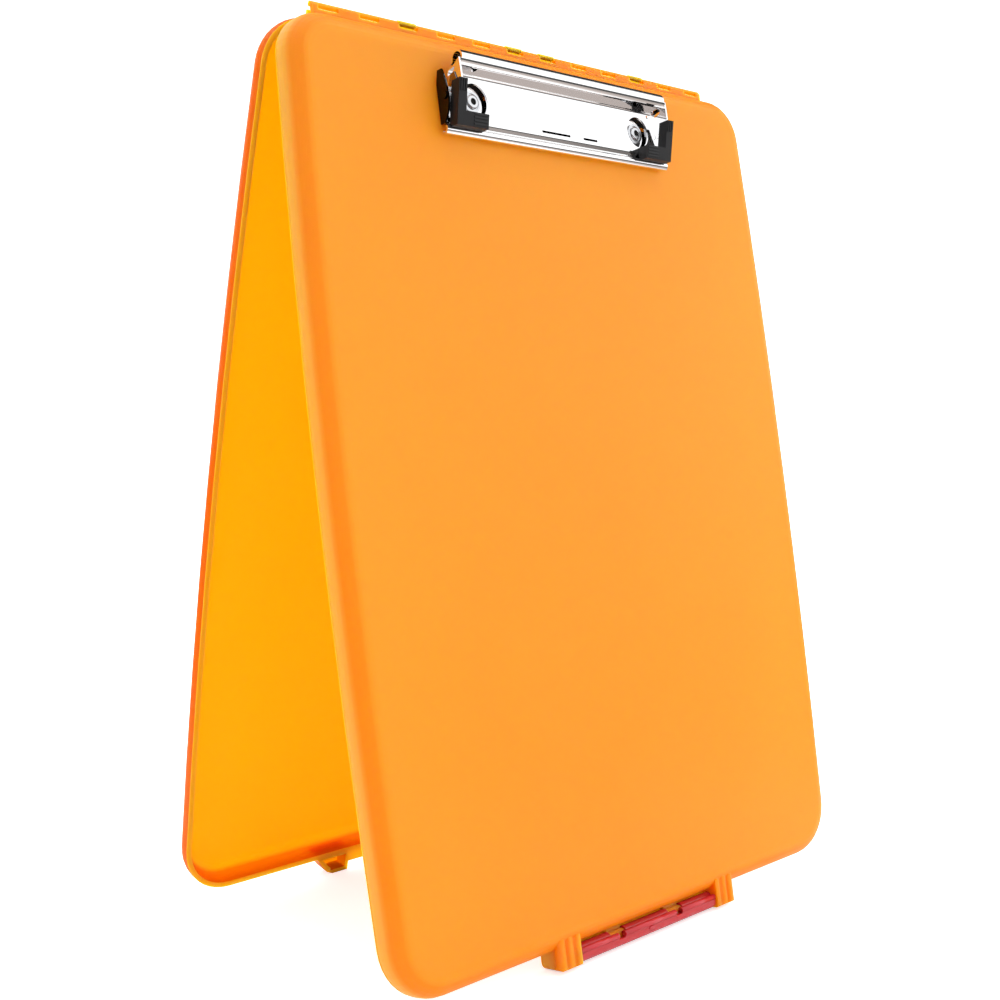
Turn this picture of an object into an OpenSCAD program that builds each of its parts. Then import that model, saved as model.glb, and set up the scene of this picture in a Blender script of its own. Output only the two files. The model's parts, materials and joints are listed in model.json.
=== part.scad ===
// Slim storage clipboard box, standing open as an A-frame.
// Two shallow moulded trays share a snap hinge along their short top edge, a flap
// latch hangs below the front tray, and a low sheet-metal clip is riveted to its face.
// Each tray is drawn in its own frame: the origin is on the hinge axis, X runs across,
// Y points from the foot to the hinge, and Z points out through the tray's face.

/* [Trays] */
// Greatest width across the bowed long sides
tray_w = 252; // [200:1:300]
// Length from the hinge edge to the foot edge
tray_l = 336.4; // [260:0.1:400]
// Depth of one tray, from the parting plane to its face
tray_d = 10.2; // [9.2:0.1:20]
// How far each long side bows out at its middle
side_bow = 4.2; // [1:0.1:8]
// Wall thickness of the trays
wall = 2; // [1.2:0.1:2.6]
// Rounding of the edge between the side walls and the face
edge_r = 8; // [5:0.1:8.5]
// Corner radius at the hinge end
corner_top_r = 18; // [12:0.5:30]
// Corner radius at the foot end
corner_foot_r = 21.5; // [12:0.5:30]
// Gap between each rim and the parting plane
rim_gap = 0.15; // [0.1:0.01:0.4]

/* [Standing angle] */
// Lean of the front tray away from the vertical, in degrees
front_lean = 10; // [6:0.1:14]

/* [Case hinge] */
// Distance from the hinge axis to the edges of the trays
hinge_reach = 4.8; // [4.2:0.1:7]
// Length of the hinge strip
strip_l = 211.7; // [200:0.1:216]
// Radius of the moulded hinge rod
rod_r = 1; // [0.9:0.05:1.1]
// Radius of the rod where a hook wraps it
neck_r = 0.6; // [0.5:0.05:0.65]
// Running clearance between hook and rod
hook_fit = 0.07; // [0.05:0.01:0.1]
// Outer radius of the hooks
hook_r = 1.35; // [1.25:0.05:1.45]
// Distance from the middle of one window to the next
window_pitch = 18; // [16:0.1:18.5]
// Width of one window
window_w = 8.7; // [7:0.1:10]
// Play between a hook and the sides of its window
hook_play = 0.35; // [0.2:0.05:0.6]
// Height of the ledge that carries the ribs and hooks
ledge_h = 2.8; // [2:0.1:2.9]
// Thickness of the ledge
ledge_t = 1.4; // [1:0.1:1.8]

/* [Feet and catch] */
// Width over both blocks of the latch housing
housing_w = 102.4; // [100:0.2:112]
// Inner distance between the blocks, where the latch sits
housing_gap = 78.6; // [70:0.2:84]
// How far the housing blocks reach below the tray
block_drop = 6.6; // [6.5:0.1:9]
// Depth of the housing blocks from the parting plane
block_d = 9.3; // [8.6:0.1:10]
// Rounding of the outer front corner of the housing blocks
block_side_r = 6; // [4:0.1:6.5]
// Rounding of the lower front edge of the housing blocks
block_low_r = 1.5; // [1:0.1:2]
// Depth of the pockets behind the housing blocks
pocket_d = 5.4; // [2:0.1:5.8]
// Distance from one grip rib on a block to the next
rib_pitch = 4.1; // [3.5:0.1:4.4]
// Radius of the grip ribs
rib_r = 2.1; // [1.8:0.05:2.2]
// How far the rear feet reach below the tray
foot_drop = 8.6; // [7.5:0.1:11]
// Width of one rear foot where it leaves the tray
foot_w = 17; // [14:0.5:20]
// Inner distance between the rear feet
foot_gap = 82; // [80:0.5:100]
// Depth of the rear feet from the parting plane
foot_d = 8; // [6:0.1:9]
// How far the catch flange reaches below the rear tray
catch_drop = 4.7; // [4:0.1:4.7]
// Thickness of the catch flange
catch_t = 1.6; // [1.2:0.1:1.7]

/* [Latch] */
// Distance of the latch axis below the tray
latch_down = 2.7; // [2.6:0.05:2.9]
// Distance of the latch axis from the parting plane
latch_out = 4.8; // [4.6:0.05:5]
// Radius of the moulded latch rod
latch_rod_r = 1.3; // [1.1:0.05:1.4]
// Running clearance between latch and rod
latch_fit = 0.08; // [0.05:0.01:0.1]
// Outer radius of the latch barrel
barrel_r = 2.35; // [2.1:0.05:2.4]
// Distance from the middle to each rod support
support_x = 16.6; // [14:0.1:20]
// Width of each rod support
support_w = 7.8; // [6:0.1:9]
// Width of the slits in the finger bead
slit_w = 3.4; // [2:0.1:5]
// Radius of the finger bead
bead_r = 1.1; // [0.9:0.05:1.15]
// Thickness of the latch walls
latch_t = 1.2; // [1:0.05:1.3]
// Side play of the latch between the blocks
latch_play = 0.4; // [0.3:0.05:0.8]

/* [Clip] */
// Length of the gripping lip
lip_l = 122; // [112:0.5:130]
// How far each end of the finger roll stands back from the end of the lip
roll_inset = 5.2; // [4.8:0.1:8]
// Thickness of the clip's sheet metal
sheet_t = 0.8; // [0.7:0.05:0.9]
// Distance from the tray's hinge edge to the middle of the finger roll
roll_y = 12.2; // [12:0.1:12.8]
// Height of the middle of the finger roll above the tray's face
roll_h = 7.2; // [7:0.1:7.6]
// Height of the lever's flat plate above the tray's face, at the middle of its sheet
plate_m = 2.6; // [2.5:0.05:2.8]
// Distance from the tray's hinge edge to the slots in the lever
slot_y = 31.6; // [31.4:0.1:32]
// Distance from the end of the lip to the middle of a rivet
rivet_inset = 15.8; // [15:0.1:18]
// Distance from the tray's hinge edge to the rivets
rivet_y = 25; // [24.8:0.1:25.2]
// Radius of the access holes over the rivets
access_r = 6.4; // [5.5:0.1:6.5]
// Radius of the rivet heads
rivet_head_r = 4.1; // [3.6:0.1:4.4]
// Outer radius of the rivet shanks
rivet_r = 1.9; // [1.7:0.05:2.1]
// Radius of the bore through the rivets
rivet_bore_r = 1.3; // [1:0.05:1.4]
// Radius of the washers inside the tray
washer_r = 4.5; // [4.2:0.1:6]
// Height of the pivot pins above the tray's face
pin_h = 4; // [3.95:0.05:4.1]
// Radius of the pivot pins
pin_r = 0.9; // [0.8:0.05:0.95]
// Running clearance round the pivot pins
pin_fit = 0.06; // [0.04:0.01:0.1]
// Radius of the rounded ears that hold the pins
ear_r = 1.5; // [1.4:0.05:1.55]

/* [Springs] */
// Wire diameter of the torsion springs
wire_d = 0.5; // [0.4:0.05:0.5]
// Mean radius of the spring coils
coil_r = 1.22; // [1.2:0.01:1.26]
// Turns in each spring
coil_turns = 3; // [2:1:3]

/* [Grips] */
// Thickness of the grips over the edge of the lever's end flange
grip_t = 1.5; // [1.2:0.1:1.8]
// Thickness of the grips' outer walls
grip_side = 1.95; // [1.5:0.05:2.3]
// Distance that the lower arm of a grip runs in from the end flange
grip_arm = 12.4; // [10:0.1:14]

/* [Hidden] */
$fn = 64;
eps = 0.05;

orange = [0.98, 0.62, 0.22];
red = [0.72, 0.16, 0.2];
chrome = [0.82, 0.83, 0.85];
black = [0.1, 0.1, 0.11];
steel = [0.66, 0.67, 0.69];

function polar(r, a) = r * [cos(a), sin(a)];
function backwards(list) = [for (i = [len(list) - 1 : -1 : 0]) list[i]];

// Where things lie in a tray's frame
top_y = -hinge_reach;
foot_y = top_y - tray_l;
mid_y = (top_y + foot_y) / 2;

// The long sides are wide arcs, and the corner circles touch them
side_r = (pow(tray_l / 2, 2) + pow(side_bow, 2)) / (2 * side_bow);
side_x = tray_w / 2 - side_r;
function corner_x(r) = side_x + sqrt(pow(side_r - r, 2) - pow(tray_l / 2 - r, 2));
top_x = corner_x(corner_top_r);
foot_x = corner_x(corner_foot_r);
top_turn = atan((tray_l / 2 - corner_top_r) / (top_x - side_x));
foot_turn = atan((tray_l / 2 - corner_foot_r) / (foot_x - side_x));

// The hinge ladder has twelve windows, and a hook hangs in four of them
windows = 12;
hook_windows = [2, 5, 6, 9];
function window_x(i) = (i - (windows - 1) / 2) * window_pitch;

// Housing blocks and latch
rib_proud = 0.6;
rib_count = 3;
block_w = (housing_w - housing_gap) / 2;
block_r = 3;
block_up = 6;
latch_y = foot_y - latch_down;
latch_x = housing_gap / 2 - latch_play;
latch_front = block_d - 0.4;
latch_low = foot_y - block_drop + 0.4;
latch_back = -rim_gap - catch_t - 0.4 - latch_t;
bead_y = latch_y + 0.5;
hook_tip = latch_low + 3.4;

// Both feet stand level: the rear tray leans as far as its longer feet need
hinge_z = (tray_l + hinge_reach + block_drop) * cos(front_lean) - rim_gap * sin(front_lean);
rear_lean = acos((hinge_z + rim_gap * sin(front_lean)) / (tray_l + hinge_reach + foot_drop));
front_reach = (tray_l + hinge_reach + block_drop - block_low_r) * sin(front_lean)
    + (block_d + rib_proud - block_low_r) * cos(front_lean) + block_low_r;
rear_reach = (tray_l + hinge_reach + foot_drop) * sin(rear_lean) + foot_d * cos(rear_lean);
hinge_y = (front_reach - rear_reach) / 2;

// Clip frame: X across, Y towards the hinge from the tray's edge, Z off the face
snug = 0.05;
rivet_x = lip_l / 2 - rivet_inset;
roll_x = lip_l / 2 - roll_inset;
end_x = lip_l / 2 - 3.8;
flange_x = end_x - sheet_t;
base_x = lip_l / 2 - 0.3;
fin_x = base_x - sheet_t;
base_front = -35.2;
base_back = -20.5;
fin_back = -15.6;
pin_y = -rivet_y - 0.5;
pin_head = 0.5;
head_h = 1.3;

// Upper edge of the lever's end flanges, and the outer face of the grips over it
flange_end = -36.4;
flange_slope = 0.256;
function flange_h(y) = 10 + flange_slope * (y + 20);
function grip_h(y) = flange_h(y) + grip_t;
grip_x = end_x + snug + grip_side;
grip_in = flange_x - snug - 0.75 * grip_t;
grip_arm_x = flange_x - grip_arm;
grip_top = -21;
grip_foot = -37;
grip_arm_y = -31.9;
grip_wall = 2.9;
grip_over_lip = 4;

// Centreline of the lever's sheet, as [height, y]: a run of arcs that touch each other
roll_r = 3.1;
roll_m = roll_r - sheet_t / 2;
roll_a = -80;
neck_m = 1.6;
step_m = 1.2;
valley_m = 0.8;
lip_m = 1.45;
lip_end = 39.3;
roll_c = [roll_h, -roll_y];
roll_p = roll_c + polar(roll_m, roll_a);
neck_drop = (roll_p[0] - plate_m - neck_m * (1 - cos(roll_a))) / -sin(roll_a);
neck_c = roll_p + polar(neck_drop, roll_a - 90) + polar(neck_m, roll_a);
lip_c = [0.15 + lip_m + sheet_t / 2, lip_m + sheet_t / 2 - lip_end];
valley_c = lip_c + polar(lip_m + valley_m, 75);
valley_p = valley_c + polar(valley_m, 150);
step_drop = (plate_m - step_m * (1 - cos(30)) - valley_p[0]) / cos(60);
step_c = valley_p + polar(step_drop, 60) - polar(step_m, -30);

module front_place() { translate([0, hinge_y, hinge_z]) rotate([90 - front_lean, 0, 0]) children(); }
module rear_place() { translate([0, hinge_y, hinge_z]) rotate([90 - rear_lean, 0, 180]) children(); }
module clip_place() { front_place() translate([0, top_y, tray_d]) children(); }
module both_sides() { for (side = [0, 1]) mirror([side, 0, 0]) children(); }

// Extrudes a section from x0 to x1. The section is drawn as [height off the plane, y]
module across(x0, x1) { translate([x1, 0, 0]) rotate([0, -90, 0]) linear_extrude(x1 - x0) children(); }

// ---- Trays ----

// Right half of the outline, drawn in by inset: hinge corner, bowed side, foot corner
corner_steps = 10;
side_steps = 8;
edge_steps = 8;
function arc(c, r, a, b, n) = [for (i = [0 : n]) c + polar(r, a + (b - a) * i / n)];
function half_outline(inset) = concat(
    arc([top_x, top_y - corner_top_r], corner_top_r - inset, 90, top_turn, corner_steps),
    [for (i = [1 : side_steps - 1]) [side_x, mid_y]
        + polar(side_r - inset, top_turn - (top_turn + foot_turn) * i / side_steps)],
    arc([foot_x, foot_y + corner_foot_r], corner_foot_r - inset, -foot_turn, -90, corner_steps));
function ring(inset, z) = let (half = half_outline(inset)) concat(
    [for (q = half) [q[0], q[1], z]], [for (q = backwards(half)) [-q[0], q[1], z]]);

// The tray as a solid pillow, with its outline and face drawn in by inset. Its rings climb
// the side wall and then round the edge onto the face
module pillow(inset, low) {
    round_r = edge_r - inset;
    levels = concat([[inset, low]], [for (i = [0 : edge_steps]) let (a = 90 * i / edge_steps)
        [edge_r - round_r * cos(a), tray_d - edge_r + round_r * sin(a)]]);
    n = len(ring(0, 0));
    last = (len(levels) - 1) * n;
    polyhedron(
        [for (level = levels) each ring(level[0], level[1])],
        concat([[for (i = [n - 1 : -1 : 0]) i], [for (i = [0 : n - 1]) last + i]],
            [for (j = [0 : len(levels) - 2]) for (i = [0 : n - 1]) let (k = (i + 1) % n)
                [j * n + i, j * n + k, (j + 1) * n + k, (j + 1) * n + i]]));
}

module ledge() {
    translate([-strip_l / 2, top_y - wall / 2, rim_gap]) cube([strip_l, ledge_h + wall / 2, ledge_t]);
}

// Ribs that stand on the ledge and carry the rod, with the windows between them
module ladder() {
    difference() {
        across(-strip_l / 2, strip_l / 2) polygon([
            [rim_gap, top_y], [rim_gap + ledge_t, top_y], [rim_gap + ledge_t, -0.6 * rod_r],
            polar(rod_r, 40), [rim_gap, 0.9 * rod_r],
        ]);
        for (i = [0 : windows - 1])
            translate([window_x(i) - window_w / 2, top_y + ledge_h, -rod_r])
                cube([window_w, hinge_reach + rod_r, 4 * rod_r]);
    }
}

// The rod is thinner in each window where a hook wraps it
module hinge_rod() {
    difference() {
        across(-strip_l / 2, strip_l / 2) circle(rod_r);
        for (i = hook_windows) across(window_x(i) - window_w / 2, window_x(i) + window_w / 2)
            difference() { circle(rod_r + 1); circle(neck_r); }
    }
}

// Snap hook: a strap up from the ledge that wraps the neck of the rod, open on its inner side
module hinge_hook() {
    half = window_w / 2 - hook_play;
    across(-half, half) difference() {
        union() {
            circle(hook_r);
            translate([rim_gap, top_y]) square([hook_r - rim_gap, hinge_reach]);
        }
        circle(neck_r + hook_fit);
        translate([-2 * hook_r, -2 * hook_r]) square(2 * hook_r);
    }
}

// ---- Latch housing ----

module block_outline(inset) {
    r = block_r - inset;
    translate([housing_gap / 2 + inset, foot_y - block_drop + inset]) {
        square([block_w - 2 * inset - r, block_drop + block_up - 2 * inset]);
        translate([0, r]) square([block_w - 2 * inset, block_drop + block_up - 2 * inset - r]);
        translate([block_w - 2 * inset - r, r]) circle(r);
    }
}

// Rounds the outer front corner of whatever it is intersected with
module rounded_front(half_w, depth, r) {
    translate([0, foot_y - block_drop - 1, 0]) rotate([-90, 0, 0])
        linear_extrude(block_drop + block_up + 2) mirror([0, 1]) {
            square([half_w - r, depth]);
            square([half_w, depth - r]);
            translate([half_w - r, depth - r]) circle(r);
        }
}

// Rounds the lower front edge in the same way
module rounded_low(depth, r) {
    low = foot_y - block_drop;
    across(0, housing_w) {
        translate([0, low]) square([depth - r, block_drop + block_up]);
        translate([0, low + r]) square([depth, block_drop + block_up]);
        translate([depth - r, low + r]) circle(r);
    }
}

module housing_block() {
    skin = wall * 0.8;
    difference() {
        intersection() {
            translate([0, 0, rim_gap]) linear_extrude(block_d - rim_gap) block_outline(0);
            rounded_front(housing_w / 2, block_d, block_side_r);
            rounded_low(block_d, block_low_r);
        }
        translate([0, 0, -1]) linear_extrude(pocket_d + 1) block_outline(skin);
    }
    intersection() {
        for (i = [0 : rib_count - 1])
            translate([housing_gap / 2 + rib_r / 2 + i * rib_pitch, 0, block_d + rib_proud - rib_r])
                rotate([90, 0, 0]) translate([0, 0, -foot_y - block_up + 1])
                    cylinder(h = block_drop + block_up, r = rib_r);
        translate([0, 0, pocket_d + skin / 2]) linear_extrude(tray_d) block_outline(0);
        rounded_low(block_d + rib_proud, block_low_r);
    }
}

// Two supports hold the latch rod: each wraps the rod and stands on the tray's edge behind it
module latch_support() {
    across(support_x - support_w / 2, support_x + support_w / 2) {
        translate([latch_out, latch_y]) circle(latch_rod_r + wall / 4);
        translate([latch_out - barrel_r, latch_y]) square([barrel_r - 0.6, latch_down + wall]);
    }
}

module front_shell() {
    color(orange) front_place() {
        difference() {
            union() {
                pillow(0, rim_gap);
                ledge();
                both_sides() {
                    housing_block();
                    latch_support();
                }
                across(-housing_gap / 2 - 1, housing_gap / 2 + 1)
                    translate([latch_out, latch_y]) circle(latch_rod_r);
            }
            pillow(wall, -1);
            both_sides() translate([rivet_x, top_y - rivet_y, 0])
                cylinder(h = tray_d + 1, r = rivet_r + pin_fit);
        }
        ladder();
        hinge_rod();
    }
}

// ---- Rear tray ----

module foot_outline(inset) {
    in_x = foot_gap / 2 + inset;
    out_x = foot_gap / 2 + foot_w - inset;
    low = foot_y - foot_drop + inset;
    polygon([
        [in_x, foot_y + edge_r], [in_x, low], [in_x + foot_w * 0.47, low],
        [out_x - foot_w * 0.35, low + foot_drop * 0.16], [out_x, foot_y], [out_x, foot_y + edge_r],
    ]);
}

module rear_foot() {
    skin = wall * 0.8;
    difference() {
        translate([0, 0, rim_gap]) linear_extrude(foot_d - rim_gap) foot_outline(0);
        translate([0, 0, -1]) linear_extrude(foot_d - skin + 1) intersection() {
            foot_outline(skin);
            translate([0, foot_y - foot_drop]) square([foot_gap, foot_drop - skin / 2]);
        }
    }
}

// The latch grips this flange when the case is shut
module catch_flange() {
    translate([-foot_gap / 2 - 1, foot_y - catch_drop, rim_gap])
        cube([foot_gap + 2, catch_drop + wall / 2, catch_t]);
}

module rear_shell() {
    color(orange) rear_place() {
        difference() {
            union() {
                pillow(0, rim_gap);
                ledge();
                both_sides() rear_foot();
                catch_flange();
            }
            pillow(wall, -1);
        }
        for (i = hook_windows) translate([window_x(i), 0, 0]) hinge_hook();
    }
}

// ---- Latch ----

// Front wall with its finger bead, floor, and hook behind the catch flange
module flap_section() {
    translate([latch_front - bead_r, bead_y]) circle(bead_r);
    polygon([
        [latch_front, bead_y], [latch_front - 0.3, latch_low + 1], [latch_front - 1.3, latch_low],
        [latch_back + 1.2, latch_low], [latch_back, latch_low + 1.2], [latch_back, hook_tip - 0.4],
        [latch_back + 0.4, hook_tip], [latch_back + latch_t, hook_tip],
        [latch_back + latch_t, latch_low + latch_t], [latch_front - latch_t - 0.9, latch_low + latch_t],
        [latch_front - latch_t - 0.4, bead_y],
    ]);
}

// Barrel that snaps over the latch rod, joined to the front wall
module barrel_section() {
    translate([latch_out, latch_y]) difference() {
        union() {
            circle(barrel_r);
            translate([0, -barrel_r]) square([latch_front - latch_out - 1, barrel_r]);
        }
        circle(latch_rod_r + latch_fit);
        intersection() {
            circle(barrel_r + eps);
            polygon([[0, 0], polar(9, 170), polar(9, 212), polar(9, 255)]);
        }
    }
}

module latch() {
    gap = support_w / 2 + latch_play;
    color(red) front_place() {
        difference() {
            across(-latch_x, latch_x) flap_section();
            both_sides() translate([support_x - slit_w / 2, latch_y - 0.8, latch_out])
                cube([slit_w, 4 * bead_r, 2 * barrel_r]);
        }
        across(-latch_x, -support_x - gap) barrel_section();
        across(-support_x + gap, support_x - gap) barrel_section();
        across(support_x + gap, latch_x) barrel_section();
    }
}

// ---- Clip ----

// Section of the lever's sheet with thickness t, from its rolled finger edge down to its
// gripping lip. Each bend is [centre, radius, first angle, last angle, 1 if it bulges outwards]
lever_bends = [
    [roll_c, roll_m, 220, roll_a, 1],
    [neck_c, neck_m, roll_a + 180, 180, -1],
    [step_c, step_m, 0, -30, 1],
    [valley_c, valley_m, 150, 255, -1],
    [lip_c, lip_m, 75, -160, 1],
];
function sheet_side(off) = [for (b = lever_bends)
    let (n = ceil(abs(b[3] - b[2]) / 6))
    for (i = [0 : n]) b[0] + polar(b[1] + b[4] * off, b[2] + (b[3] - b[2]) * i / n)];
module lever_section(t) { polygon(concat(sheet_side(t / 2), backwards(sheet_side(-t / 2)))); }

// Outline of the lever seen from the front: narrow at the roll, full width at the lip
module lever_outline() {
    half = [[roll_x, 0], [roll_x, -roll_y - 0.6], [end_x, -roll_y - 2.2], [end_x, base_front],
        [lip_l / 2, base_front - 1.2], [lip_l / 2, -lip_end - 1]];
    polygon(concat(half, [for (q = backwards(half)) [-q[0], q[1]]]));
}

// Turned-up end of the lever: a narrow neck under the roll, then a wing down to the lip
module end_flange() {
    polygon([
        [roll_h + 2.5, -roll_y - 0.6], [9.9, -16.5], [flange_h(-20), -20], [flange_h(flange_end), flange_end],
        [1.6, flange_end + 0.4], [1.9, pin_y], [2.8, -17.8], [5.4, -17.2], [6.6, -16.4], [6.9, -15.4],
        [roll_h - 0.4, -roll_y - 2.4],
    ]);
}

// Rounded ear or wing with a bore for the pivot pin
module pivot_ear() {
    difference() {
        union() {
            translate([pin_h, pin_y]) circle(ear_r);
            children();
        }
        translate([pin_h, pin_y]) circle(pin_r + pin_fit);
    }
}

module clip_lever() {
    color(chrome) clip_place() {
        difference() {
            intersection() {
                across(-lip_l / 2, lip_l / 2) lever_section(sheet_t);
                linear_extrude(30, center = true) lever_outline();
            }
            both_sides() translate([rivet_x, -rivet_y, 0]) cylinder(h = 20, r = access_r);
            for (slot = [[-11.5, 4], [11.5, 19.5]])
                translate([slot[0], -slot_y - 0.9, 0]) cube([slot[1] - slot[0], 0.9, 20]);
        }
        both_sides() across(flange_x, end_x) pivot_ear() end_flange();
    }
}

// Turned-up end of the base, with its top edge in a wide curve
fin_top = 5.6;
fin_mid = -27;
function fin_h(y) = fin_top - (y > fin_mid ? 0.016 : 0.05) * pow(y - fin_mid, 2);
module fin() {
    n = 10;
    polygon(concat([[0, base_front], [0, base_back], [1.2, fin_back]],
        [for (i = [0 : n]) let (y = fin_back + (base_front - fin_back) * i / n) [fin_h(y), y]]));
}

module clip_base() {
    color(chrome) clip_place() {
        difference() {
            translate([-base_x, base_front, 0]) cube([2 * base_x, base_back - base_front, sheet_t]);
            both_sides() translate([rivet_x, -rivet_y, -1]) cylinder(h = 3, r = rivet_r + pin_fit);
        }
        both_sides() across(fin_x, base_x) pivot_ear() fin();
    }
}

// Stub pin: flush inside the lever's flange, with a head outside the base's fin
module clip_pin(side) {
    outer = base_x + snug;
    color(steel) clip_place() mirror([side, 0, 0]) translate([0, pin_y, pin_h]) rotate([0, 90, 0]) {
        translate([0, 0, flange_x - 0.1]) cylinder(h = outer + pin_head - flange_x + 0.1, r = pin_r);
        translate([0, 0, outer]) cylinder(h = pin_head, r = pin_r + 0.5);
    }
}

// ---- Torsion springs ----

// One unbroken wire between flange and fin: a leg on the base, the coils round the pin, and
// a leg that pushes the grip's outer wall away from the tray
spring_sides = 6;
coil_steps = 8;
leg_l = 4;
coil_len = fin_x - end_x - wire_d - 0.3;
coil_pitch = coil_len / (coil_turns + 0.5);
coil_x0 = fin_x - wire_d / 2 - 0.15;
leg_y = pin_y + leg_l;
base_leg = [coil_x0, leg_y, sheet_t + wire_d / 2 + snug];
lever_leg = [coil_x0 - coil_len, leg_y, flange_h(leg_y) - grip_wall - wire_d / 2 - 2 * snug];
function coil_point(i) = let (a = -90 - i * 360 / coil_steps) [
    coil_x0 - i * coil_pitch / coil_steps, pin_y + coil_r * cos(a), pin_h + coil_r * sin(a)];
coil_count = (coil_turns + 0.5) * coil_steps;
wire_path = concat([base_leg], [for (i = [0 : coil_count]) coil_point(i)], [lever_leg]);

// Tube round a path: each ring lies square to the path there
module wire(path, d) {
    n = len(path);
    ring = [for (i = [0 : n - 1])
        let (dir = path[min(i + 1, n - 1)] - path[max(i - 1, 0)], u = dir / norm(dir),
             v = cross([1, 0, 0], u) / norm(cross([1, 0, 0], u)), w = cross(u, v))
        for (k = [0 : spring_sides - 1])
            path[i] + d / 2 * (cos(k * 360 / spring_sides) * v + sin(k * 360 / spring_sides) * w)];
    side = [for (i = [0 : n - 2]) for (k = [0 : spring_sides - 1])
        let (k2 = (k + 1) % spring_sides, a = i * spring_sides, b = a + spring_sides)
        each [[a + k, b + k2, a + k2], [a + k, b + k, b + k2]]];
    cap = [for (k = [1 : spring_sides - 2]) each [
        [0, k, k + 1], [(n - 1) * spring_sides, (n - 1) * spring_sides + k + 1, (n - 1) * spring_sides + k]]];
    polyhedron(ring, concat(side, cap));
}

module clip_spring(side) {
    color(steel) clip_place() mirror([side, 0, 0]) wire(wire_path, wire_d);
}

// ---- Grips and rivets ----

// Channel that caps the upper edge of the end flange, from x0 to x1
module grip_wall_piece(x0, x1) {
    across(x0, x1) polygon([
        [grip_h(grip_top), grip_top], [grip_h(grip_foot), grip_foot],
        [grip_over_lip, grip_foot], [grip_over_lip, flange_end],
        [flange_h(flange_end + 1) - grip_wall, flange_end + 1],
        [flange_h(grip_top) - grip_wall, grip_top],
    ]);
}

// Moulded corner cap: a channel over the end flange, and a lower arm that lies on the plate
module clip_grip(side) {
    color(black) clip_place() mirror([side, 0, 0]) {
        difference() {
            across(grip_arm_x, flange_x - snug) polygon([
                [grip_h(grip_arm_y), grip_arm_y], [grip_h(grip_foot), grip_foot], [grip_over_lip, grip_foot],
                [grip_over_lip - 0.6, flange_end - 0.2], [plate_m, step_c[1]], [plate_m, grip_arm_y],
            ]);
            across(grip_arm_x - 1, flange_x + 1) lever_section(sheet_t + 2 * snug);
        }
        grip_wall_piece(grip_in, flange_x - snug);
        grip_wall_piece(end_x + snug, grip_x);
        across(grip_in, grip_x) {
            polygon([
                [grip_h(grip_top), grip_top], [grip_h(grip_foot), grip_foot],
                [flange_h(grip_foot) + snug, grip_foot], [flange_h(grip_top) + snug, grip_top],
            ]);
            polygon([
                [grip_h(flange_end) - 0.2, flange_end - snug], [grip_h(grip_foot) - 0.2, grip_foot],
                [grip_over_lip, grip_foot], [grip_over_lip, flange_end - snug],
            ]);
        }
        for (i = [0 : 3]) let (y = grip_foot + 0.8 + i * 1.15)
            across(grip_arm_x + 0.5, grip_arm_x + 7.2) translate([grip_h(y) - 0.3, y]) square([0.6, 0.6]);
        for (i = [0 : 2]) let (x = grip_in + 0.5 + i * 1.1, y = grip_top - 0.4)
            across(x, x + 0.55) polygon([
                [grip_h(y) + 0.3, y], [grip_h(y - 4) + 0.3, y - 4], [grip_h(y - 4) - 0.3, y - 4], [grip_h(y) - 0.3, y],
            ]);
    }
}

// Tubular rivet: a wide head with a groove round its rolled ring, and a flange rolled over
// the washer inside the tray
module rivet(side) {
    under = wall + washer_t;
    ring_r = rivet_head_r * 0.66;
    color(steel) clip_place() mirror([side, 0, 0]) translate([rivet_x, -rivet_y, 0]) difference() {
        union() {
            translate([0, 0, -under - 0.3]) cylinder(h = under + 0.3 + sheet_t + head_h / 2, r = rivet_r);
            translate([0, 0, sheet_t]) cylinder(h = head_h / 2, r = rivet_head_r);
            translate([0, 0, sheet_t + head_h / 2]) rotate_extrude() {
                square([ring_r - head_h / 2, head_h / 2]);
                translate([ring_r - head_h / 2, 0]) intersection() { circle(head_h / 2); square(head_h); }
            }
            translate([0, 0, -under - 0.6]) cylinder(h = 0.6, r = rivet_r + 0.9);
        }
        translate([0, 0, -under - 1]) cylinder(h = under + 8, r = rivet_bore_r);
        translate([0, 0, sheet_t + head_h / 4]) difference() {
            cylinder(h = head_h, r = ring_r + 0.5);
            translate([0, 0, -1]) cylinder(h = head_h + 2, r = ring_r);
        }
    }
}

washer_t = 0.7;
module rivet_washer(side) {
    color(steel) clip_place() mirror([side, 0, 0])
        translate([rivet_x, -rivet_y, -wall - washer_t]) difference() {
            cylinder(h = washer_t, r = washer_r);
            translate([0, 0, -1]) cylinder(h = washer_t + 2, r = rivet_r + pin_fit);
        }
}

front_shell();
rear_shell();
latch();
clip_base();
clip_lever();
clip_pin(1);  // clip_pin_left
clip_pin(0);  // clip_pin_right
clip_spring(1);  // clip_spring_left
clip_spring(0);  // clip_spring_right
clip_grip(1);  // clip_grip_left
clip_grip(0);  // clip_grip_right
rivet(1);  // rivet_left
rivet(0);  // rivet_right
rivet_washer(1);  // rivet_washer_left
rivet_washer(0);  // rivet_washer_right
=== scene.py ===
# Storage clipboard box: dressed for the photograph's view, standing open as an A-frame.
import json
import math

import bmesh
import bpy
from mathutils import Matrix, Vector


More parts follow.
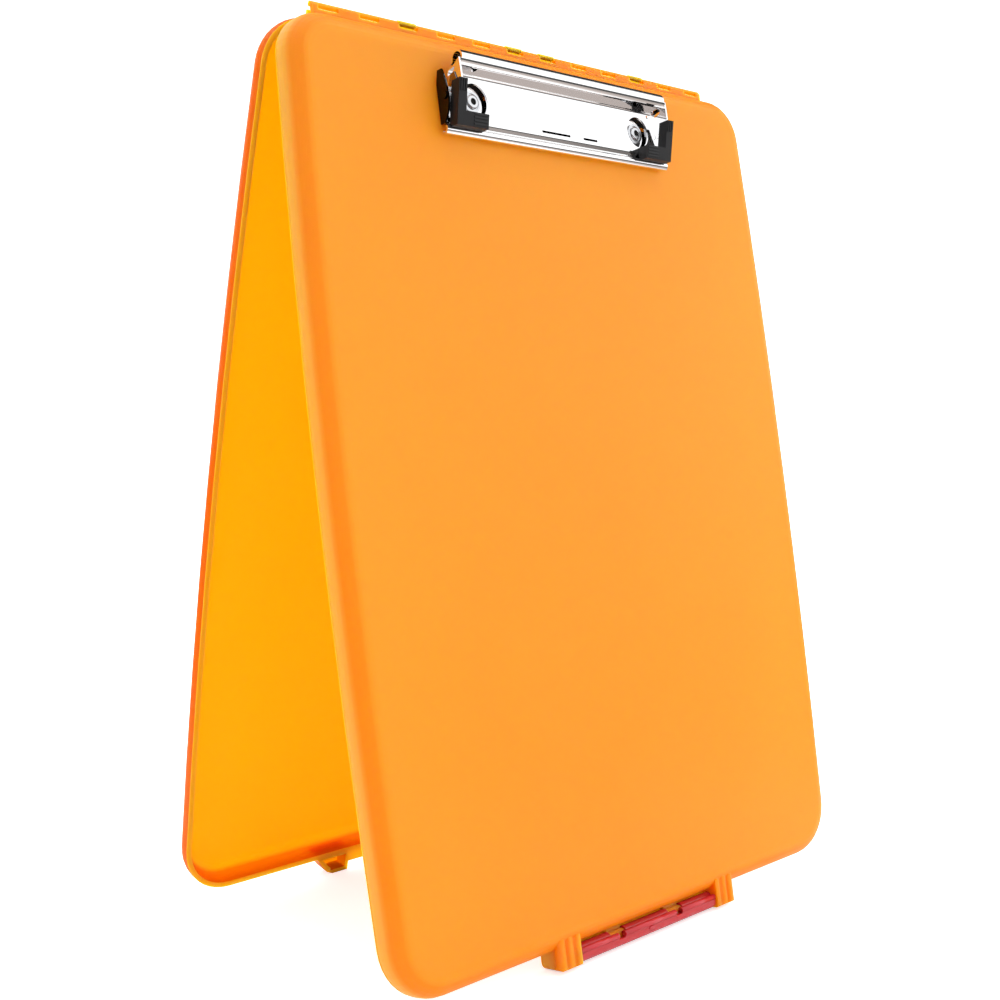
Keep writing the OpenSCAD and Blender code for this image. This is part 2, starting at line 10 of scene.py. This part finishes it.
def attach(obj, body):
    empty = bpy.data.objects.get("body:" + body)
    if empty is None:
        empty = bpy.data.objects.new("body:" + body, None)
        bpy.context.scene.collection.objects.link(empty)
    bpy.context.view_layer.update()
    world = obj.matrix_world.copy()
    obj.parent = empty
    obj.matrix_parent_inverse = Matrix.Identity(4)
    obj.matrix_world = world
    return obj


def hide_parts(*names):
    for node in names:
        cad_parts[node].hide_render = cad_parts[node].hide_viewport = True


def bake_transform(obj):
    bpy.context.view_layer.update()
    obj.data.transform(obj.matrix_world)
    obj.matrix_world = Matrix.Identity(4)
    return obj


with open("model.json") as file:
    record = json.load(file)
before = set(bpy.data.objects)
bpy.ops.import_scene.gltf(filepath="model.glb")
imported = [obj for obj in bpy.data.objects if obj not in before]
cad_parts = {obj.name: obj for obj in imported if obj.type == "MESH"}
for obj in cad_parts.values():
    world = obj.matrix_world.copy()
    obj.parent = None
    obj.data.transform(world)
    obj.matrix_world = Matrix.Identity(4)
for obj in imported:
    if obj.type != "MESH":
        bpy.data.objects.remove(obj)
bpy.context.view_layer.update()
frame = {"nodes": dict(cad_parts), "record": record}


# Trays: two shallow trays, injection moulded in orange translucent polypropylene. The wall
# is 2 mm thick, so light from behind glows through it. Hooks on the rear tray turn on a rod
# moulded with the front one.
MM = 0.001
FRONT_LEAN = math.radians(10)
# Height from the hinge's axis, in mm, at which the walls give way to the hinge's ribs
RIBS_Y = (-5.5, -4.6)
joints = {joint["name"]: joint for joint in frame["record"]["behaviour"]["joints"]}
hinge = Vector(joints["case_hinge"]["pos_m"])
rear_lean = math.radians(-joints["case_hinge"]["range_deg"][0]) - FRONT_LEAN
front_out = Vector((0, -math.cos(FRONT_LEAN), math.sin(FRONT_LEAN)))
rear_out = Vector((0, math.cos(rear_lean), math.sin(rear_lean)))


def srgb(hex_colour):
    """Linear colour of an sRGB hex value."""
    parts = [int(hex_colour[i:i + 2], 16) / 255 for i in (0, 2, 4)]
    return [c / 12.92 if c <= 0.04045 else ((c + 0.055) / 1.055) ** 2.4 for c in parts] + [1.0]


def node(tree, kind, settings=None):
    """Adds one node. An output among the settings is linked, and any other value is set."""
    made = tree.nodes.new(kind)
    for key, value in (settings or {}).items():
        if isinstance(value, bpy.types.NodeSocket):
            tree.links.new(value, made.inputs[key])
        elif isinstance(key, int) or key in made.inputs:
            made.inputs[key].default_value = value
        else:
            setattr(made, key, value)
    return made


def material(name, **sockets):
    """New material with these values on its shader's sockets."""
    made = bpy.data.materials.new(name)
    made.use_nodes = True
    surface = made.node_tree.nodes["Principled BSDF"]
    for key, value in sockets.items():
        surface.inputs[key.replace("_", " ")].default_value = value
    return made, made.node_tree, surface


def mottle(tree, size_mm, detail=2.0, stretch=(1, 1, 1)):
    """Noise with features of size_mm on Object coordinates, drawn out along X, Y and Z."""
    place = node(tree, "ShaderNodeTexCoord").outputs["Object"]
    if stretch != (1, 1, 1):
        scale = [1 / s for s in stretch]
        place = node(tree, "ShaderNodeMapping", {0: place, "Scale": scale}).outputs[0]
    grain = node(tree, "ShaderNodeTexNoise",
                 {"Vector": place, "Scale": 1 / (size_mm * MM), "Detail": detail})
    return grain.outputs["Fac"]


def texture(tree, surface, sheen, roughness, skin, strength, depth_mm):
    """Spreads the roughness over a range by one pattern, and raises a relief by another."""
    spread = node(tree, "ShaderNodeMapRange",
                  {"Value": sheen, "To Min": roughness[0], "To Max": roughness[1]})
    bump = node(tree, "ShaderNodeBump",
                {"Height": skin, "Strength": strength, "Distance": depth_mm * MM})
    tree.links.new(spread.outputs["Result"], surface.inputs["Roughness"])
    tree.links.new(bump.outputs["Normal"], surface.inputs["Normal"])


def from_hinge(tree, direction):
    """Distance in metres from the hinge's axis along a direction."""
    place = node(tree, "ShaderNodeTexCoord").outputs["Object"]
    along = node(tree, "ShaderNodeVectorMath",
                 {"operation": "DOT_PRODUCT", 0: place, 1: direction}).outputs["Value"]
    start = hinge.dot(direction)
    return node(tree, "ShaderNodeMath", {"operation": "SUBTRACT", 0: along, 1: start}).outputs[0]


# Polypropylene, injection moulded in a spark-eroded tool: satin, with light glowing through
# its wall. The pigment clouds are about 60 mm across. The spark texture is finer than 0.1 mm
# and is drawn at 0.5 mm, so that it shows. Bands of hue by depth from the hinge's plane are
# painted shade and a painted sheen where the wall bends, and a hue of its own on the hinge's
# thin ribs is painted light and shade for the glow through them.
def moulded_polypropylene(name, outward, hues, shine, glow_scale, painted_light_bands, rib_painted_hue):
    made, tree, surface = material(
        name, Roughness=0.4, IOR=1.49, Specular_IOR_Level=shine, Subsurface_Weight=1.0,
        Subsurface_Radius=(0.010, 0.008, 0.0008), Subsurface_Scale=glow_scale)
    clouds = mottle(tree, 60, 3.0)
    colour = node(tree, "ShaderNodeMix", {
        "data_type": "RGBA", 0: clouds, 6: srgb(hues[0]), 7: srgb(hues[1])}).outputs[2]
    depth = from_hinge(tree, outward)
    # Painted shade and painted sheen: each band lays its hue up to a depth from the hinge's plane
    for start, end, hue in painted_light_bands:
        clear = node(tree, "ShaderNodeMapRange", {
            "interpolation_type": "SMOOTHSTEP", "Value": depth,
            "From Min": start * MM, "From Max": end * MM}).outputs["Result"]
        colour = node(tree, "ShaderNodeMix", {
            "data_type": "RGBA", 0: clear, 6: srgb(hue), 7: colour}).outputs[2]
    # Painted light and shade on the hinge's thin ribs: a hue of their own near the hinge
    upward = Vector((0, -outward.z * math.copysign(1, outward.y), abs(outward.y)))
    ribs = node(tree, "ShaderNodeMapRange", {
        "interpolation_type": "SMOOTHSTEP", "Value": from_hinge(tree, upward),
        "From Min": RIBS_Y[0] * MM, "From Max": RIBS_Y[1] * MM}).outputs["Result"]
    colour = node(tree, "ShaderNodeMix", {
        "data_type": "RGBA", 0: ribs, 6: colour, 7: srgb(rib_painted_hue)}).outputs[2]
    tree.links.new(colour, surface.inputs["Base Color"])
    texture(tree, surface, clouds, (0.38, 0.48), mottle(tree, 0.5), 0.15, 0.02)
    return made


def dress(names, finish):
    """Gives CAD nodes a finish."""
    for name in names:
        for slot in frame["nodes"][name].material_slots:
            slot.material = finish


# Each painted band: below its first depth in mm the hue shows alone, and above its second not at
# all. On the front tray they are painted shade near the face, a painted sheen on the side walls and
# painted shade at the rim, and the ribs' darker hue is painted shade against the glow through them.
front_orange = moulded_polypropylene(
    "moulded_polypropylene_orange_front", front_out, ("f68c18", "f9901d"), 0.22, 1.0,
    [(9.2, 10.1, "f28204"), (4.0, 7.0, "fb9f3e"), (0.5, 1.6, "ea7608")], "ea7a0c")
# On the rear tray the first band is painted shade on the walls and in the inner corner, and the
# second a painted highlight on the rim. The ribs' lighter hue is painted light on the hooks in the
# hinge's shaded windows, and its hues, a little lighter and yellower than the front's, are painted
# light for the glow inside it.
rear_orange = moulded_polypropylene(
    "moulded_polypropylene_orange_rear", rear_out, ("f99314", "fc9819"), 0.06, 1.32,
    [(6.0, 7.6, "dd5c00"), (0.3, 0.6, "fc9c2c")], "ff9e20")
dress(["front_shell"], front_orange)
dress(["rear_shell"], rear_orange)


# Latch apron: a low strip of the front tray's wall, moulded in one with it in the same
# polypropylene. It closes the tray behind the latch, between the two housing blocks.
FOOT_Y = -341.2
APRON_END_X = 40.3
APRON_Y = (FOOT_Y - 2.2, FOOT_Y + 0.3)
APRON_W = (0.15, 1.35)

# Sizes are in mm on the front tray: X across it, Y up it from the hinge's axis, and W out
# from its rim
front_tray = Matrix.Translation(hinge) @ Matrix((
    (1, 0, 0, 0),
    (0, math.sin(FRONT_LEAN), -math.cos(FRONT_LEAN), 0),
    (0, math.cos(FRONT_LEAN), math.sin(FRONT_LEAN), 0),
    (0, 0, 0, 1)))


def fitted(name, shape, finish, round_sides=True):
    """Turns a bmesh in the front tray's millimetres into a piece."""
    bmesh.ops.remove_doubles(shape, verts=shape.verts, dist=1e-4)
    bmesh.ops.transform(shape, matrix=front_tray @ Matrix.Scale(MM, 4), verts=shape.verts)
    bmesh.ops.recalc_face_normals(shape, faces=shape.faces)
    for face in shape.faces:
        face.smooth = round_sides and len(face.verts) <= 4
    mesh = bpy.data.meshes.new(name)
    shape.to_mesh(mesh)
    shape.free()
    mesh.materials.append(finish)
    piece = bpy.data.objects.new(name, mesh)
    bpy.context.collection.objects.link(piece)
    return piece


def bar(shape, low, high):
    """Adds a plain bar between two corners."""
    middle = [(a + b) / 2 for a, b in zip(low, high)]
    size = [b - a for a, b in zip(low, high)]
    place = Matrix.Translation(middle) @ Matrix.Diagonal((*size, 1))
    bmesh.ops.create_cube(shape, size=1, matrix=place)


apron = bmesh.new()
bar(apron, (-APRON_END_X, APRON_Y[0], APRON_W[0]), (APRON_END_X, APRON_Y[1], APRON_W[1]))
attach(fitted("latch_apron", apron, front_orange, round_sides=False), "front")


# Latch: a flap moulded in red translucent polycarbonate that clips over the front tray's rod.
# Its finger bead stands along the top of the front wall, with a pip at the middle.
LATCH_END_X = 38.9
SLIT_X = 16.6
SLIT_HALF = 1.7
BEAD_R = 1.15
BEAD_Y = FOOT_Y - 2.2
BEAD_PROUD = 0.35
LATCH_FACE_W = 8.9
PIP_Y = BEAD_Y - 1.7
PIP_RADII = (1.6, 0.7, 0.5)


def rod(shape, start, end, radius, segments=32):
    """Adds a round bar between two points."""
    axis = Vector(end) - Vector(start)
    turn = axis.to_track_quat("Z", "Y").to_matrix().to_4x4()
    place = Matrix.Translation((Vector(start) + Vector(end)) / 2) @ turn
    bmesh.ops.create_cone(shape, cap_ends=True, segments=segments, radius1=radius,
                          radius2=radius, depth=axis.length, matrix=place)


# Polycarbonate from a polished tool: glossy, glowing at thin edges. Flow marks 6 mm wide run
# along it. The tool's faint orange peel is drawn at 0.8 mm, which softens its highlights.
red_pc, tree, surface = material(
    "moulded_polycarbonate_red", Roughness=0.2, IOR=1.58, Specular_IOR_Level=0.5,
    Subsurface_Weight=0.5, Subsurface_Radius=(0.004, 0.0008, 0.0008), Subsurface_Scale=1.0)
flow = mottle(tree, 6, stretch=(6, 1, 1))
colour = node(tree, "ShaderNodeMix", {
    "data_type": "RGBA", 0: flow, 6: srgb("bd202c"), 7: srgb("cb2c38")})
tree.links.new(colour.outputs[2], surface.inputs["Base Color"])
texture(tree, surface, flow, (0.16, 0.26), mottle(tree, 0.8), 0.1, 0.02)
dress(["latch"], red_pc)

bead = bmesh.new()
bead_w = LATCH_FACE_W + BEAD_PROUD - BEAD_R
stretches = [
    (-LATCH_END_X, -SLIT_X - SLIT_HALF),
    (-SLIT_X + SLIT_HALF, SLIT_X - SLIT_HALF),
    (SLIT_X + SLIT_HALF, LATCH_END_X)]
for left, right in stretches:
    rod(bead, (left, BEAD_Y, bead_w), (right, BEAD_Y, bead_w), BEAD_R)
pip_place = Matrix.Translation((0, PIP_Y, LATCH_FACE_W)) @ Matrix.Diagonal((*PIP_RADII, 1))
bmesh.ops.create_uvsphere(bead, u_segments=24, v_segments=12, radius=1, matrix=pip_place)
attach(fitted("latch_bead", bead, red_pc), "latch")


# Clip: a base and a lever pressed from steel sheet and bright chrome plated. The base is
# riveted to the front tray, and the lever turns on two stub pins at the base's fins.
CHROME_WHITE = "f4f4f5"
DARK_END_X = (59.6, 60.2)


# Chrome plate over bright nickel: a mirror with long bright streaks. The drawing lines of the
# strip run along it. They are finer than 0.1 mm and are drawn 1.2 mm wide, as a slight
# waviness that breaks the long reflections.
def chrome_plate(name):
    """Chrome plate, with its shader for more to be set on it."""
    made, tree, surface = material(name, Base_Color=srgb(CHROME_WHITE), Metallic=1.0, Roughness=0.05)
    lines = mottle(tree, 1.2, 3.0, stretch=(30, 1, 1))
    texture(tree, surface, mottle(tree, 4), (0.025, 0.075), lines, 0.12, 0.03)
    return made, tree, surface


chrome, tree, surface = chrome_plate("chrome_plate_on_rolled_sheet")
dress(["clip_lever"], chrome)

# The base's outer ends, past 59.6 mm from the middle, are coloured near black. The base's
# outer ends stand in the shade of the grips, where the plate is thin and black
base_chrome, tree, surface = chrome_plate("chrome_plate_dark_at_the_ends")
place = node(tree, "ShaderNodeTexCoord").outputs["Object"]
across = node(tree, "ShaderNodeSeparateXYZ", {0: place}).outputs["X"]
from_middle = node(tree, "ShaderNodeMath", {"operation": "ABSOLUTE", 0: across}).outputs[0]
at_end = node(tree, "ShaderNodeMapRange", {
    "interpolation_type": "SMOOTHSTEP", "Value": from_middle,
    "From Min": DARK_END_X[0] * MM, "From Max": DARK_END_X[1] * MM}).outputs["Result"]
colour = node(tree, "ShaderNodeMix", {
    "data_type": "RGBA", 0: at_end, 6: srgb(CHROME_WHITE), 7: srgb("33302f")})
tree.links.new(colour.outputs[2], surface.inputs["Base Color"])
dress(["clip_base", "clip_pin_left", "clip_pin_right"], base_chrome)


# Rivets and washers: tubular rivets, cold headed from steel and barrel zinc plated. Each goes
# through the base and the tray's face, and is spread over a washer inside.

# Zinc from the barrel is a soft grey mirror. The tumbling's fine grain is drawn at 0.6 mm.
steel, tree, surface = material("zinc_plated_steel", Metallic=1.0, Roughness=0.2)
tumble = mottle(tree, 0.6)
colour = node(tree, "ShaderNodeMix", {
    "data_type": "RGBA", 0: mottle(tree, 2.5), 6: srgb("c6c8cc"), 7: srgb("dcdde0")})
tree.links.new(colour.outputs[2], surface.inputs["Base Color"])
texture(tree, surface, tumble, (0.14, 0.26), tumble, 0.15, 0.01)
dress([name for name in frame["nodes"] if name.startswith("rivet")], steel)


# Torsion springs: zinc plated spring wire wound round each pin. One leg stands on the base
# and the other pushes the lever's grip out, so the coils wind up as the lever is pressed.
FACE_W = 10.2
PIN_Y = -30.3
PIN_W = FACE_W + 4
WIRE_R = 0.25
WIRE_SIDES = 12
COIL_R = 1.22
COIL_X = (59.6, 57.6)
TURNS = 3.5
COIL_STEPS = 84
LEG_Y = PIN_Y + 4
BASE_LEG_W = FACE_W + 1.1
LEVER_LEG_W = FACE_W + 6.366
dress(["clip_spring_left", "clip_spring_right"], steel)


def edges_of(parts):
    """The edges among the parts of a bmesh."""
    return [part for part in parts if isinstance(part, bmesh.types.BMEdge)]


for side_name, side in (("left", -1), ("right", 1)):
    coil = bmesh.new()
    begin = Vector((COIL_X[0], PIN_Y, PIN_W - COIL_R))
    end = Vector((COIL_X[1], PIN_Y, PIN_W + COIL_R))
    place = Matrix.Translation(begin) @ Matrix.Rotation(math.pi / 2, 4, "X")
    ring = bmesh.ops.create_circle(coil, segments=WIRE_SIDES, radius=WIRE_R, matrix=place)
    ring_edges = list({edge for vert in ring["verts"] for edge in vert.link_edges})
    wound = bmesh.ops.spin(
        coil, geom=ring["verts"] + ring_edges, cent=(COIL_X[0], PIN_Y, PIN_W), axis=(1, 0, 0),
        dvec=((COIL_X[1] - COIL_X[0]) / COIL_STEPS, 0, 0), angle=-TURNS * 2 * math.pi,
        steps=COIL_STEPS)
    legs = [(ring_edges, begin, BASE_LEG_W), (edges_of(wound["geom_last"]), end, LEVER_LEG_W)]
    for edges, root, leg_w in legs:
        drawn = bmesh.ops.extrude_edge_only(coil, edges=edges)["geom"]
        tip = [part for part in drawn if isinstance(part, bmesh.types.BMVert)]
        bmesh.ops.translate(coil, verts=tip, vec=Vector((root.x, LEG_Y, leg_w)) - root)
        rim = [edge for edge in edges_of(drawn) if edge.is_boundary]
        bmesh.ops.edgeloop_fill(coil, edges=rim)
    bmesh.ops.scale(coil, verts=coil.verts, vec=(side, 1, 1))
    spring = fitted("torsion_spring_" + side_name, coil, steel)
    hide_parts("clip_spring_" + side_name)
    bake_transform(spring)


# Rivet bosses: the round seats pressed up in the chrome plated base, which carry the rivets'
# heads and show through the lever's holes.
CLIP_Y = -4.8
RIVET_X = 45.2
RIVET_Y = CLIP_Y - 25
BOSS_R = 5.6
BOSS_W = (FACE_W + 0.05, FACE_W + 0.84)
bosses = bmesh.new()
for x in (-RIVET_X, RIVET_X):
    rod(bosses, (x, RIVET_Y, BOSS_W[0]), (x, RIVET_Y, BOSS_W[1]), BOSS_R, segments=64)
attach(fitted("rivet_bosses", bosses, chrome), "front")


# Rivet bore shade: a black disc standing in each tubular rivet's bore, painted shade for the
# dark inside of the bore. From outside each is a black spot in a bright ring.
BORE_R = 1.29
BORE_W = (FACE_W - 1.6, FACE_W + 1.5)
# Painted shade: a dull black, with brown specks 0.8 mm across
painted_black, tree, surface = material(
    "painted_shade_black", Roughness=0.6, Specular_IOR_Level=0.2)
colour = node(tree, "ShaderNodeMix", {
    "data_type": "RGBA", 0: mottle(tree, 0.8), 6: srgb("0b0a0a"), 7: srgb("1c1a19")})
tree.links.new(colour.outputs[2], surface.inputs["Base Color"])
cores = bmesh.new()
for x in (-RIVET_X, RIVET_X):
    rod(cores, (x, RIVET_Y, BORE_W[0]), (x, RIVET_Y, BORE_W[1]), BORE_R)
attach(fitted("rivet_bore_bottoms", cores, painted_black), "front")


# Shade sheets: a thin black sheet at the back of the base under each of the lever's holes,
# painted shade for the deep gap between lever and base seen through the hole. It lies thin,
# so that it clears the pressed lever.
SHADE_SHEET_X = (33, 57)
SHADE_SHEET_Y = (CLIP_Y - 21, CLIP_Y - 17.4)
SHADE_SHEET_W = (FACE_W + 0.02, FACE_W + 0.15)
shade_sheets = bmesh.new()
for low_x, high_x in (SHADE_SHEET_X, (-SHADE_SHEET_X[1], -SHADE_SHEET_X[0])):
    bar(shade_sheets, (low_x, SHADE_SHEET_Y[0], SHADE_SHEET_W[0]), (high_x, SHADE_SHEET_Y[1], SHADE_SHEET_W[1]))
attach(fitted("painted_shade_sheets", shade_sheets, painted_black, round_sides=False), "front")


# Grips: soft black PVC caps moulded over the two lower corners of the lever, where the
# fingers meet it. Each hooks round the edge of the lever's end flange.

# Plasticised PVC from an etched tool: dark and satin. The etched grain is about 0.1 mm and is
# drawn at 0.4 mm, which softens the highlights.
black_pvc, tree, surface = material(
    "moulded_soft_pvc_black", Roughness=0.45, IOR=1.53, Specular_IOR_Level=0.3)
etch = mottle(tree, 0.4)
colour = node(tree, "ShaderNodeMix", {
    "data_type": "RGBA", 0: mottle(tree, 5), 6: srgb("0f0f11"), 7: srgb("19181a")})
tree.links.new(colour.outputs[2], surface.inputs["Base Color"])
texture(tree, surface, etch, (0.38, 0.55), etch, 0.25, 0.03)
dress(["clip_grip_left", "clip_grip_right"], black_pvc)


# Table: a lit sheet of white acrylic, far larger than the case that stands on it. Its lit
# patch fades from 0.3 m out, so that mirrors see the dark room past it.
TABLE_R = 12.0
TABLE_GLOW = 0.6
table_shape = bmesh.new()
bmesh.ops.create_circle(table_shape, cap_ends=True, segments=96, radius=TABLE_R)
table_mesh = bpy.data.meshes.new("floor")
table_shape.to_mesh(table_mesh)
table_shape.free()
table = bpy.data.objects.new("floor", table_mesh)
bpy.context.collection.objects.link(table)
acrylic, tree, surface = material(
    "lit_white_acrylic_table", Roughness=0.9, Emission_Color=srgb("ffffff"))
rays = node(tree, "ShaderNodeLightPath")
lit = node(tree, "ShaderNodeMath", {
    "operation": "MULTIPLY", 0: rays.outputs["Is Camera Ray"], 1: TABLE_GLOW})
tree.links.new(lit.outputs[0], surface.inputs["Emission Strength"])
place = node(tree, "ShaderNodeTexCoord").outputs["Object"]
reach = node(tree, "ShaderNodeVectorMath", {"operation": "LENGTH", 0: place}).outputs["Value"]
faded = srgb("fafafa")
for near, far, hue in ((0.26, 0.55, "9c928c"), (0.7, 1.2, "1c1a19")):
    away = node(tree, "ShaderNodeMapRange", {
        "interpolation_type": "SMOOTHSTEP", "Value": reach,
        "From Min": near, "From Max": far}).outputs["Result"]
    faded = node(tree, "ShaderNodeMix", {
        "data_type": "RGBA", 0: away, 6: faded, 7: srgb(hue)}).outputs[2]
colour = node(tree, "ShaderNodeMix", {
    "data_type": "RGBA", 0: rays.outputs["Is Glossy Ray"], 6: srgb("fafafa"), 7: faded})
tree.links.new(colour.outputs[2], surface.inputs["Base Color"])
table_mesh.materials.append(acrylic)


# Light tent: soft white light from all round, brighter behind the case so that its trays
# glow. Dark flags stand outside it: the first list shades the matt surfaces, and the second
# is what mirrors see.
DOME = 1.6
BACK = 0.8
MIRROR = 1.35
BEHIND = (0.66, 0.72, 0.2)
# Each flag: direction, cosine at its edge, cosine at its core, share of the light left there
matt_flags = [
    ((-0.70, -0.70, -0.1), 0.45, 0.85, 0.12),
    ((-0.70, 0.69, 0.19), 0.90, 0.96, 0.1),
]
mirror_flags = [
    ((0.68, 0.42, 0.60), 0.79, 0.87, 0.03),
    ((0.67, -0.70, -0.18), 0.994, 0.998, 0.05),
    ((0.74, -0.66, -0.12), 0.988, 0.996, 0.05),
    ((-0.70, 0.60, 0.30), 0.70, 0.90, 0.05),
]
scene = bpy.context.scene
scene.view_settings.view_transform = "Standard"
tent = bpy.data.worlds.new("studio")
scene.world = tent
tent.use_nodes = True
tree = tent.node_tree
background = tree.nodes["Background"]
background.inputs["Color"].default_value = srgb("ffffff")


def toward(tree, direction, edge, core, outside, inside):
    """Light level that goes from outside to inside as a ray nears a direction."""
    way = node(tree, "ShaderNodeTexCoord").outputs["Generated"]
    unit = Vector(direction).normalized()
    near = node(tree, "ShaderNodeVectorMath", {"operation": "DOT_PRODUCT", 0: way, 1: unit})
    return node(tree, "ShaderNodeMapRange", {
        "interpolation_type": "SMOOTHSTEP", "Value": near.outputs["Value"], "From Min": edge,
        "From Max": core, "To Min": outside, "To Max": inside}).outputs["Result"]


def flagged(tree, level, flags):
    """Dims a light level by each flag."""
    for direction, edge, core, left in flags:
        shade = toward(tree, direction, edge, core, 1.0, left)
        dimmed = node(tree, "ShaderNodeMath", {"operation": "MULTIPLY", 0: level, 1: shade})
        level = dimmed.outputs[0]
    return level


glow = toward(tree, BEHIND, 0.1, 0.8, DOME, DOME + BACK)
matt = flagged(tree, glow, matt_flags)
mirrored = flagged(tree, MIRROR, mirror_flags)
rays = node(tree, "ShaderNodeLightPath")
bounced = node(tree, "ShaderNodeMix", {
    "data_type": "FLOAT", 0: rays.outputs["Is Glossy Ray"], 2: matt, 3: mirrored})
strength = node(tree, "ShaderNodeMix", {
    "data_type": "FLOAT", 0: rays.outputs["Is Camera Ray"], 2: bounced.outputs[0], 3: DOME})
tree.links.new(strength.outputs[0], background.inputs["Strength"])


# Camera: at the photograph's viewing angle, low and to the left of the case, close enough
# for strong perspective.
LENS = 48.281
SENSOR = 36
EYE = (-0.38184, -0.39828, 0.20957)
LOOK_DOWN = 4.728
LOOK_RIGHT = 42.910
eye = bpy.data.cameras.new("camera")
eye.lens = LENS
eye.sensor_width = SENSOR
eye.clip_start = 0.01
camera = bpy.data.objects.new("camera", eye)
bpy.context.collection.objects.link(camera)
camera.location = EYE
camera.rotation_euler = (math.radians(90 - LOOK_DOWN), 0, math.radians(-LOOK_RIGHT))
scene.camera = camera
